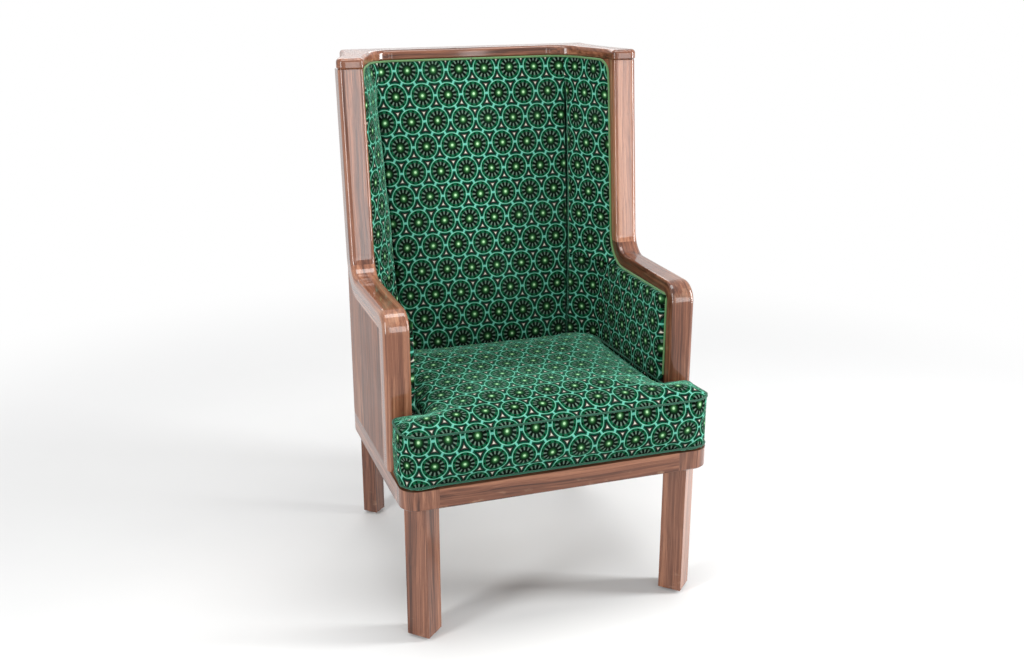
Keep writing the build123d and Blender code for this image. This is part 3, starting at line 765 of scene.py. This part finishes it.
def arm_surface(s, t, side):
    z = PADS_FROM + (SPLIT_Z - SEAM - PADS_FROM) * t
    start = Vector((ARM_PAD_X, ARM_PAD_FRONT, z))
    bend = Vector((ARM_PAD_X, BEND_Y, z))
    end = Vector((back_half(z) + SEAM, back_y(z), z))
    back_run = (end - bend).length
    way = s * (FRONT_RUN + back_run)
    past = way - FRONT_RUN
    if past < 0:
        point = start.lerp(bend, way / FRONT_RUN)
    else:
        point = bend.lerp(end, past / back_run)
    turn = smooth((past + BEND_SOFT) / (2 * BEND_SOFT))
    normal = Vector((-1, 0, 0)).lerp(side_normal(bend, end), turn).normalized()
    point = point + normal * (BEND_FILL * max(0.0, 1 - abs(past) / BEND_SOFT) ** 2)
    return mirrored(point, normal, (WING_SHIFT + back_run - past, z - ROW_Z), side)


for side, word in ((1, "right"), (-1, "left")):
    pad = stuffed_pad(
        "cover_arm_" + word, lambda s, t: arm_surface(s, t, side),
        (FRONT_RUN + BEHIND_BEND, SPLIT_Z - PADS_FROM),
        rolls=(0.008, 0.007, 0.010, 0.004), crown=0.006, depth=0.012, counts=(90, 50),
        seed=5.0 * side, tuck=TUCK)
    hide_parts("arm_pad_" + word)
    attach(pad, "root")

# %% [markdown]
# ## The seat cushion
#
# A T-shaped box cushion: its nose fills the full width in front of the arms, and its body lies
# between them. A sewn case filled tight rises most in the middle and pulls in at its corners.
# The case is drawn as a flat-sided box, turned into an even mesh and inflated as cloth under
# pressure. The swelling is capped, and the underside stays flat.

# %% Outline of the cushion
CUSHION_IN = 0.004  # the case is cut this much smaller, because it swells
SEAT_Z0 = RAIL_TOP + SEAM
SEAT_Z1 = RAIL_TOP + 0.128
cushion_front = cushion_low[1] + CUSHION_IN
nose_half = cushion_high[0] - CUSHION_IN
shoulder_y = ARM_FRONT - SEAM - CUSHION_IN
seat_half = ARM_PAD_X - SEAM - CUSHION_IN
seat_rear_half = back_half(RAIL_TOP) - SEAM
seat_rear_y = back_y(RAIL_TOP) - SEAM - CUSHION_IN


def turned(middle, arm, turn):
    """Plan point at the end of an arm from the middle, turned by an angle."""
    x = middle.x + arm.x * cos(turn) - arm.y * sin(turn)
    return x, middle.y + arm.x * sin(turn) + arm.y * cos(turn)


def rounded(corners, steps=8):
    """A closed outline with rounded corners, from rows of x, y and radius."""
    points = [Vector(row[:2]) for row in corners]
    out = []
    for i, here in enumerate(points):
        radius = corners[i][2]
        before = (points[i - 1] - here).normalized()
        after = (points[(i + 1) % len(points)] - here).normalized()
        half = before.angle(after) / 2
        middle = here + (before + after).normalized() * (radius / sin(half))
        first = here + before * (radius / tan(half)) - middle
        last = here + after * (radius / tan(half)) - middle
        sweep = first.angle_signed(last)
        out += [turned(middle, first, -sweep * k / steps) for k in range(steps + 1)]
    return out


# x, y and radius of each corner on the right, from the front to the rear
right = [
    (nose_half, cushion_front, 0.042), (nose_half, shoulder_y, 0.020), (seat_half, shoulder_y, 0.010),
    (seat_half, BEND_Y, 0.03), (seat_rear_half, seat_rear_y, 0.02)]
left = [(-x, y, radius) for x, y, radius in reversed(right)]
seat_outline = rounded(left[-1:] + right + left[:-1])
print("points round the cushion:", len(seat_outline))

# %% Cushion case


def box_case(name, outline, z0, z1):
    mesh = bmesh.new()
    lower = [mesh.verts.new((x, y, z0)) for x, y in outline]
    upper = [mesh.verts.new((x, y, z1)) for x, y in outline]
    mesh.faces.new(lower[::-1])
    mesh.faces.new(upper)
    for i in range(len(outline)):
        j = (i + 1) % len(outline)
        mesh.faces.new((lower[i], lower[j], upper[j], upper[i]))
    bmesh.ops.recalc_face_normals(mesh, faces=mesh.faces)
    data = bpy.data.meshes.new(name)
    mesh.to_mesh(data)
    mesh.free()
    return add_object(name, data)


def as_mesh(piece):
    """The mesh that a piece's modifiers or bevel give."""
    depsgraph = bpy.context.evaluated_depsgraph_get()
    return bpy.data.meshes.new_from_object(piece.evaluated_get(depsgraph))


def apply_modifiers(piece):
    done = as_mesh(piece)
    piece.modifiers.clear()
    piece.data = done


cushion = box_case("cover_seat_cushion", seat_outline, SEAT_Z0, SEAT_Z1)
bevel = cushion.modifiers.new("edges", "BEVEL")
bevel.width = 0.012
bevel.segments = 3
bevel.limit_method = "ANGLE"
bevel.angle_limit = radians(50)
voxels = cushion.modifiers.new("even", "REMESH")
voxels.mode = "VOXEL"
voxels.voxel_size = 0.0055
apply_modifiers(cushion)
print("cushion case:", len(cushion.data.vertices), "points")

# %% Inflate the cushion
SWELL = 0.010                  # most that any point may move
PRESSURE = 4.0
FRAMES = 20
FLAT_BELOW = SEAT_Z0 - 0.0005  # the underside stays on the platform


def inflate(piece, pressure, frames, cap):
    """Blows the case up, then keeps each point within cap of where it was sewn."""
    sewn = [v.co.copy() for v in piece.data.vertices]
    cloth = piece.modifiers.new("swell", "CLOTH")
    settings = cloth.settings
    settings.use_pressure = True
    settings.uniform_pressure_force = pressure
    settings.effector_weights.gravity = 0.0
    settings.quality = 4
    settings.mass = 0.4
    settings.tension_stiffness = 25
    settings.compression_stiffness = 25
    settings.bending_stiffness = 2.0
    cloth.point_cache.frame_start = 1
    cloth.point_cache.frame_end = frames
    for step in range(1, frames + 1):
        bpy.context.scene.frame_set(step)
    apply_modifiers(piece)
    bpy.context.scene.frame_set(1)
    furthest = 0.0
    for vertex, start in zip(piece.data.vertices, sewn):
        move = vertex.co - start
        if move.length > cap:
            move = move.normalized() * cap
        furthest = max(furthest, move.length)
        vertex.co = start + move
        vertex.co.z = max(vertex.co.z, FLAT_BELOW)
    return furthest


print("largest swelling, mm:", round(inflate(cushion, PRESSURE, FRAMES, SWELL) * 1000, 1))

# %% [markdown]
# The filling also heaps up along the middle of the seat, which a short inflation doesn't reach.
# That crown is added here: a point of the top rises more the further it lies from the edge.

# %% Crown of the cushion
CROWN = 0.014
CROWN_REACH = 0.14  # the crown is full this far inside the edge
TOP_FROM = 0.3      # share of the height where the top's lift begins
SEAT_UNEVEN = 0.0012
SEAT_LUMPS = 11

# start, direction, length and distance run of each side of the outline
seams = []
girth = 0.0
for (ax, ay), (bx, by) in zip(seat_outline, seat_outline[1:] + seat_outline[:1]):
    side = sqrt((bx - ax) ** 2 + (by - ay) ** 2)
    if side > 1e-6:
        seams.append((ax, ay, (bx - ax) / side, (by - ay) / side, side, girth))
        girth += side


def by_outline(x, y):
    """How far a plan point lies inside the cushion's outline, and how far along it."""
    best, inside, run = 1.0, 0.0, 0.0
    for ax, ay, dx, dy, side, start in seams:
        share = min(max((x - ax) * dx + (y - ay) * dy, 0.0), side)
        gap_x, gap_y = x - ax - dx * share, y - ay - dy * share
        distance = sqrt(gap_x * gap_x + gap_y * gap_y)
        if distance < best:
            left = dx * (y - ay) - dy * (x - ax) > 0
            best, inside, run = distance, distance if left else -distance, start + share
    return inside, run


for vertex in cushion.data.vertices:
    lift = smooth((vertex.co.z - SEAT_Z0) / (SEAT_Z1 - SEAT_Z0))
    if lift > TOP_FROM:
        inner = abs(by_outline(vertex.co.x, vertex.co.y)[0])
        uneven = noise.noise(vertex.co * SEAT_LUMPS) * SEAT_UNEVEN
        vertex.co.z += lift * (CROWN * smooth(inner / CROWN_REACH) + uneven)

# %% [markdown]
# The cover's coordinates follow the way it is cut. The boxing is a strip that goes round the top,
# so its length is measured along the outline from the middle of the front. Across the strip, and
# over the front edge on to the top, lengths are measured along the cushion's own bulging profile,
# so that the rosettes keep their size and run over the edge without a break. The profile is read
# from the mesh: its points are sorted by their direction from a line inside the nose.

# %% Profile of the cushion's nose
NOSE_IN = 0.08     # the line lies this far behind the front
NOSE_PAST = 0.008  # and the profile is read to just behind it
NOSE_ENDS = 0.06   # clear of the nose's rounded ends
TURNS = 24         # directions, from straight down to straight up
nose_z = (SEAT_Z0 + SEAT_Z1) / 2


def fan_of(inside, z):
    """Direction from the line, in steps of the profile: 0 is down, and TURNS is up."""
    turn = atan2(z - nose_z, NOSE_IN - inside)
    return min(max((turn / pi + 0.5) * TURNS, 0.0), TURNS)


fans = [[] for _ in range(TURNS + 1)]
for vertex in cushion.data.vertices:
    inside = vertex.co.y - cushion_front
    if abs(vertex.co.x) < nose_half - NOSE_ENDS and inside < NOSE_IN + NOSE_PAST:
        fans[round(fan_of(inside, vertex.co.z))].append((inside, vertex.co.z))
profile = [[sum(p[i] for p in fan) / len(fan) for i in (0, 1)] for fan in fans]
lengths = [0.0]
for (ay, az), (by, bz) in zip(profile[::-1], profile[-2::-1]):
    lengths.append(lengths[-1] + sqrt((by - ay) ** 2 + (bz - az) ** 2))
lengths.reverse()


def across(inside, z):
    """Place across the strip, continued from the top's own front-to-back measure."""
    at = fan_of(inside, z)
    low = min(int(at), TURNS - 1)
    return cushion_front + NOSE_IN - lengths[low] - (lengths[low + 1] - lengths[low]) * (at - low)


print("height of the boxing, mm:", round(lengths[0] * 1000))

# %% Lay out the cushion's cover
front_middle = by_outline(0.0, cushion_front)[1]
layer = cushion.data.uv_layers.new(name="cloth")
boxing = {}
for polygon in cushion.data.polygons:
    polygon.use_smooth = True
    n = polygon.normal
    on_top = abs(n.z) >= max(abs(n.x), abs(n.y))
    for index in polygon.loop_indices:
        key = cushion.data.loops[index].vertex_index
        x, y, z = cushion.data.vertices[key].co
        if on_top:
            near_front = y < cushion_front + NOSE_IN and n.z > 0
            uv = (x, across(y - cushion_front, z) if near_front else y)
        else:
            if key not in boxing:
                inside, run = by_outline(x, y)
                run -= front_middle
                boxing[key] = (run - girth * round(run / girth), across(inside, z))
            uv = boxing[key]
        layer.data[index].uv = uv
paint(cushion, moquette)
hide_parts("seat_cushion")
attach(cushion, "root")
print("cushion top, mm:", round(max(v.co.z for v in cushion.data.vertices) * 1000, 1))

# %% [markdown]
# ## Piping
#
# Where the cloth meets the wood a thin pale-green piping hides the tacks. It is one cord in a
# bias-cut cover that runs from the foot of one arm, over the arm, up the stile, round the wood's
# rounded corner, along the cap and down the other side. Two darker welts go round the cushion.

# %% Piping finish
TWIST = 0.0011  # from thread to thread of the bias-cut cover


def piping_finish(name, light, dark):
    f = Finish(name, Roughness=0.9, Specular_IOR_Level=0.15, Sheen_Weight=0.2)
    coord = f.place()
    hair = f.noise(coord, 1400.0, 3.0, 0.6)
    x, y, z = f.split(coord)
    slant = f.plus(f.plus(x, y), z)
    thread = f.math("SINE", f.times(slant, 2 * pi / TWIST))
    base = f.mix(hair, light, dark)
    f.colour(f.mix(f.times(f.step(thread, 0.2, 0.9), 0.35), base, dark))
    f.bump(f.plus(thread, hair), 0.4, 0.0004)
    return f.material


piping = piping_finish("green_piping", tone(116, 154, 104), tone(66, 108, 62))
welt = piping_finish("cushion_welt", tone(46, 104, 80), tone(18, 62, 46))

# %% Line of the piping up the side
PIPE_R = 0.0027
PIPE_FOOT = 0.50  # hidden beside the cushion
pipe_x = STILE_IN - 0.0015
under_cap = CAP_Z - PIPE_R + 0.0005


def arc(middle, radius, first, last, steps):
    """Points of an arc, from one angle to another."""
    turns = [first + (last - first) * k / steps for k in range(steps + 1)]
    return [(middle[0] + radius * cos(turn), middle[1] + radius * sin(turn)) for turn in turns]


def run_between(a, b, steps):
    """Points of a straight run, without its two ends."""
    return [tuple(p + (q - p) * k / steps for p, q in zip(a, b)) for k in range(1, steps)]


foot = (ARM_PAD_FRONT, PIPE_FOOT)
roll = ROLL_R - RETURN_D
roll_mid = (ARM_PAD_FRONT + roll, SPLIT_Z - roll)
hollow_mid = (HOLLOW_Y, ARM_Z + HOLLOW_R)
ear_mid = (cloth_front_y(CAP_Z - EAR_R) + EAR_R, CAP_Z - EAR_R)
stile_foot, stile_head = [(cloth_front_y(z), z) for z in (hollow_mid[1], ear_mid[1])]

# y and z, in the plane beside the wood
upright = [foot] + run_between(foot, (ARM_PAD_FRONT, roll_mid[1]), 8)
upright += arc(roll_mid, roll, pi, pi / 2, 6)
upright += run_between((roll_mid[0], SPLIT_Z), (HOLLOW_Y, SPLIT_Z), 8)
upright += arc(hollow_mid, HOLLOW_R + RETURN_D, -pi / 2, -LEAN, 12)
upright += run_between(stile_foot, stile_head, 16)
side_line = [(pipe_x, y, z) for y, z in upright]

# %% Line of the piping under the cap
cloth_a = Vector((STILE_IN, cloth_front_y(CAP_Z)))
cloth_b = Vector((PAD_TOP_X, BACK_TOP[0]))
cloth_run = (cloth_b - cloth_a).normalized()
for y, z in arc(ear_mid, EAR_R - PIPE_R / 2, pi, pi / 2, 8):
    x = STILE_IN + cloth_run.x / cloth_run.y * (y - cloth_a.y)
    side_line.append((x - 0.003, y, min(z, under_cap)))
corner_start = cloth_b - cloth_run * CORNER_TURN
side_line += run_between(side_line[-1], (*corner_start, under_cap), 8)
arm = Vector((cloth_run.y, -cloth_run.x)) * CAP_BACK_R
for k in range(11):
    turn = (pi - 2 * CORNER_HALF) * k / 10
    side_line.append((*turned(corner_start - arm, arm, turn), under_cap))
for k in range(1, 6):
    side_line.append((side_line[-1][0] * (1 - 0.22 * k), BACK_TOP[0] - 0.001, under_cap))
whole_line = side_line + [(-x, y, z) for x, y, z in reversed(side_line)]
print("piping points:", len(whole_line))

# %% Piping beside the wood


def cord_piece(name, points, radius, material, closed=False):
    """A round cord through points: a bevelled curve, turned into a mesh."""
    curve = bpy.data.curves.new(name + "_line", "CURVE")
    curve.dimensions = "3D"
    spline = curve.splines.new("POLY")
    spline.points.add(len(points) - 1)
    for point, place in zip(spline.points, points):
        point.co = (*place, 1.0)
    spline.use_cyclic_u = closed
    curve.bevel_depth = radius
    curve.bevel_resolution = 3
    curve.use_fill_caps = not closed
    line = add_object(name + "_line", curve)
    data = as_mesh(line)
    bpy.data.objects.remove(line)
    piece = add_object(name, data)
    for polygon in data.polygons:
        polygon.use_smooth = True
    paint(piece, material)
    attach(piece, "root")
    print(name, "faces:", len(data.polygons))


cord_piece("piping_edge", whole_line, PIPE_R, piping)

# %% Welts of the cushion
WELT_R = 0.0022
WELT_OUT = 0.0008  # from the cover to the cord's middle
bpy.context.view_layer.update()
tree = BVHTree.FromObject(cushion, bpy.context.evaluated_depsgraph_get())
for word, z in (("upper", SEAT_Z1 - 0.002), ("lower", SEAT_Z0 + 0.005)):
    line = []
    for x, y in seat_outline:
        # from just outside the case, which has swollen
        near, normal, _, _ = tree.find_nearest(Vector((x * 1.01, y - 0.002, z)))
        line.append(tuple(near + normal * WELT_OUT))
    cord_piece("welt_cushion_" + word, line, WELT_R, welt, closed=True)

# %% [markdown]
# ## Floor, light and camera
#
# A plain pale floor runs up to a white surround. Two tall soft lights stand where the coach's
# windows are, left and right, because the long reflections on the wood's rounded edges come from
# them, and three narrow ones in front on the right add thin highlights. One overhead and weaker
# ones in front and behind fill the rest. The camera stands where the photographer stood, left of
# the chair and at a standing person's eye level.

# %% Floor
floor_data = bpy.data.meshes.new("floor")
floor_data.from_pydata([(-9, -9, 0), (9, -9, 0), (9, 9, 0), (-9, 9, 0)], [], [(0, 1, 2, 3)])
floor = add_object("floor", floor_data)
pale = Finish("floor_paint", Roughness=0.75)
speck = pale.noise(pale.place(), 3.0, 3.0)
pale.colour(pale.mix(speck, (0.70, 0.70, 0.69, 1), (0.73, 0.73, 0.72, 1)))
floor_data.materials.append(pale.material)


def seen_or_mirrored(tree):
    """1 for rays that show the surround: the camera's, and those in polish and metal."""
    path = tree.nodes.new("ShaderNodeLightPath")
    total = path.outputs["Is Camera Ray"]
    for name in ("Is Glossy Ray", "Is Transmission Ray"):
        larger = tree.nodes.new("ShaderNodeMath")
        larger.operation = "MAXIMUM"
        tree.links.new(total, larger.inputs[0])
        tree.links.new(path.outputs[name], larger.inputs[1])
        total = larger.outputs[0]
    return total


far = pale.node("ShaderNodeVectorMath", {0: pale.place()}, operation="LENGTH").outputs["Value"]
fade = pale.times(pale.step(far, 0.9, 2.6), seen_or_mirrored(pale.tree))
glow = pale.node("ShaderNodeEmission", {"Color": (1, 1, 1, 1), "Strength": 1.0}).outputs[0]
blend = pale.node("ShaderNodeMixShader", {0: fade, 1: pale.shader.outputs[0], 2: glow})
pale.put(pale.out.inputs[0], blend.outputs[0])

# %% White surround
world = bpy.data.worlds.new("studio")
bpy.context.scene.world = world
world.use_nodes = True
sky = world.node_tree
sky.nodes.clear()
out = sky.nodes.new("ShaderNodeOutputWorld")
pick = sky.nodes.new("ShaderNodeMixShader")
sky.links.new(seen_or_mirrored(sky), pick.inputs[0])
sky.links.new(pick.outputs[0], out.inputs[0])

# what lights the chair, and what is seen
for socket, colour, strength in ((1, (0.93, 0.95, 1.0, 1), 0.45), (2, (1, 1, 1, 1), 1.0)):
    plain = sky.nodes.new("ShaderNodeBackground")
    plain.inputs[0].default_value = colour
    plain.inputs[1].default_value = strength
    sky.links.new(plain.outputs[0], pick.inputs[socket])

# %% Lights
DAYLIGHT = (0.97, 0.99, 1.0)
WARM = (1.0, 0.98, 0.96)
WHITE = (1.0, 1.0, 1.0)


def aimed(name, data, place, target):
    """An object that looks from its place at a target."""
    made = add_object(name, data)
    made.location = place
    made.rotation_euler = (Vector(target) - Vector(place)).to_track_quat("-Z", "Y").to_euler()
    return made


# name, place, target, width and height, watts, colour
strips = [
    (f"window_front_{x:.2f}", (x, -3.4, 1.15), (x, 0, 1.15), (0.14, 1.7), 4.5, WHITE)
    for x in (0.40, 1.16, 1.92)]
lamps = [
    ("window_left", (-2.3, -1.15, 1.15), (0, -0.2, 0.75), (0.5, 2.0), 42, DAYLIGHT),
    ("window_right", (2.3, -0.95, 1.15), (0, -0.2, 0.75), (0.5, 2.0), 80, DAYLIGHT),
    ("ceiling", (0, -0.25, 2.9), (0, 0, 0.5), (2.4, 0.9), 50, WARM),
    ("front", (-0.6, -3.4, 1.9), (0, 0, 0.7), (1.8, 1.4), 13, WHITE),
    *strips,
    ("behind", (0.3, 2.6, 2.5), (0, 0, 0.9), (2.4, 1.2), 26, WHITE),
]
for name, place, target, size, watts, colour in lamps:
    data = bpy.data.lights.new(name, "AREA")
    data.shape = "RECTANGLE"
    data.size, data.size_y = size
    data.energy = watts
    data.color = colour
    aimed(name, data, place, target)
print("lamps:", len(lamps))

# %% Camera
camera_data = bpy.data.cameras.new("camera")
camera_data.lens = 41.5
camera_data.sensor_width = 36
bpy.context.scene.camera = aimed("camera", camera_data, (-0.86, -2.48, 1.45), (0.0, 0.0, 0.575))
bpy.context.scene.view_settings.view_transform = "Standard"
